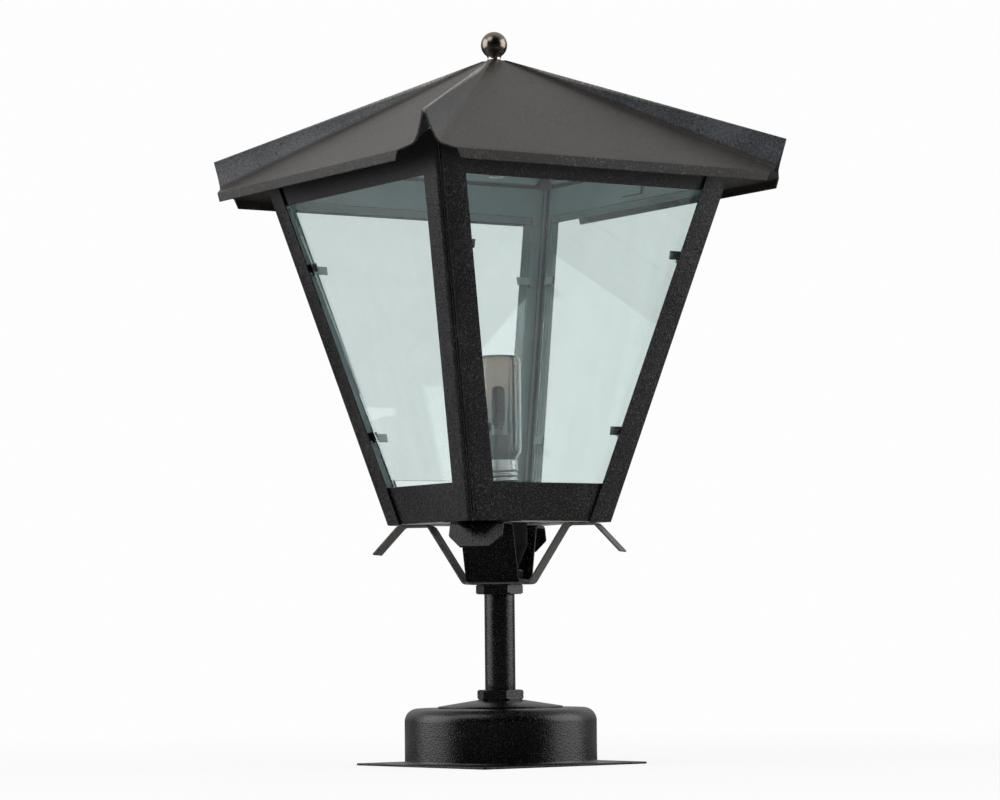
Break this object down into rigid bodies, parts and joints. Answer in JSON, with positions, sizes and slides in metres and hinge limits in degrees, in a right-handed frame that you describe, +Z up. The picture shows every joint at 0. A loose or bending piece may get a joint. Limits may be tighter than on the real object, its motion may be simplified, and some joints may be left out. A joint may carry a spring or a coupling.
{
  "type": "post top lantern",
  "caption": "Square tapered post top lantern: folded pyramid roof with standing seams and a ball finial, glazed head on a sprung cradle, pipe stem and domed mounting plate.",
  "frame": {"origin": "centre of the underside of the mounting plate, on the stem's axis", "axes": "+Z up along the stem, the head's four glazed faces look along -Y, +X, +Y and -X and its corners lie on the diagonals"},
  "size_m": [0.31, 0.31, 0.5168],
  "materials": {
    "black_coat": "black fine-textured powder coat",
    "roof_coat": "black fine-textured powder coat, faintly brown where lit",
    "grey_coat": "plain undercoat on the floor",
    "spring_steel": "thin dark grey coat on spring steel",
    "zinc_steel": "zinc plated",
    "brass": "plain turned brass",
    "bright_nickel": "bright nickel plate",
    "dark_nickel": "dark nickel plate",
    "cream_plastic": "moulded",
    "black_plastic": "moulded phenolic",
    "lead_sheath": "heat resistant round lead",
    "window_glass": "clear float glass, faintly green",
    "lamp_glass": "clear lamp glass",
    "capsule_glass": "dark fused glass capsule",
    "ceramic": "lamp mount",
    "black_glass": "black glass insulator with a solder tip"
  },
  "bodies": {
    "base": {"base_dome": "black_coat", "dished_washer": "black_coat", "lower_nut": "black_coat", "upper_nut": "black_coat", "stem": "black_coat", "dome_locknut": "zinc_steel", "cradle_locknut": "zinc_steel", "terminal_block": "cream_plastic", "terminal_screw": "zinc_steel", "earth_terminal": "brass", "stem_bush": "brass", "lamp_lead": "lead_sheath", "cradle": "black_coat", "cradle_screws": "zinc_steel", "spring_seat": "spring_steel", "frame_rivets": "black_coat", "glass_clips": "zinc_steel", "floor_pan": "grey_coat", "top_bridge": "black_coat", "roof_rod": "zinc_steel", "rod_nuts": "zinc_steel", "lampholder_body": "black_plastic", "lampholder_shell": "brass", "lampholder_contact": "brass", "post_front": "black_coat", "bottom_rail_front": "black_coat", "top_rail_front": "black_coat", "pane_front": "window_glass", "post_right": "black_coat", "bottom_rail_right": "black_coat", "top_rail_right": "black_coat", "pane_right": "window_glass", "post_back": "black_coat", "bottom_rail_back": "black_coat", "top_rail_back": "black_coat", "pane_back": "window_glass", "post_left": "black_coat", "bottom_rail_left": "black_coat", "top_rail_left": "black_coat", "pane_left": "window_glass"},
    "roof": {"roof": "roof_coat"},
    "collar": {"finial_collar": "bright_nickel"},
    "finial": {"finial_ball": "dark_nickel"},
    "bulb": {"bulb_cap": "bright_nickel", "bulb_tip": "black_glass", "bulb_glass": "lamp_glass", "bulb_capsule": "capsule_glass", "bulb_mount": "ceramic"},
    "spring_right": {"spring_arm_right": "spring_steel"},
    "spring_left": {"spring_arm_left": "spring_steel"}
  },
  "joints": [
    {"name": "roof_lift", "type": "slide", "parent": "base", "child": "roof", "axis": [0, 0, 1], "range_m": [0, 0.11]},
    {"name": "finial_rise", "type": "slide", "parent": "roof", "child": "collar", "axis": [0, 0, 1], "range_m": [0, 0.0101]},
    {"name": "finial_turn", "type": "hinge", "parent": "collar", "child": "finial", "pos_m": [0, 0, 0.5074], "axis": [0, 0, 1], "range_deg": [0, 3600]},
    {"name": "bulb_draw", "type": "slide", "parent": "base", "child": "bulb", "axis": [0, 0, 1], "range_m": [0, 0.03]},
    {"name": "spring_right_flex", "type": "hinge", "parent": "base", "child": "spring_right", "pos_m": [0.01556, -0.01556, 0.12635], "axis": [0.7071, 0.7071, 0], "range_deg": [0, 7], "stiffness_Nm_per_rad": 4},
    {"name": "spring_left_flex", "type": "hinge", "parent": "base", "child": "spring_left", "pos_m": [-0.01556, 0.01556, 0.12635], "axis": [-0.7071, -0.7071, 0], "range_deg": [0, 7], "stiffness_Nm_per_rad": 4}
  ],
  "couplings": [
    {"joint": "finial_rise", "follows": "finial_turn", "m_per_rad": 0.00015915}
  ]
}
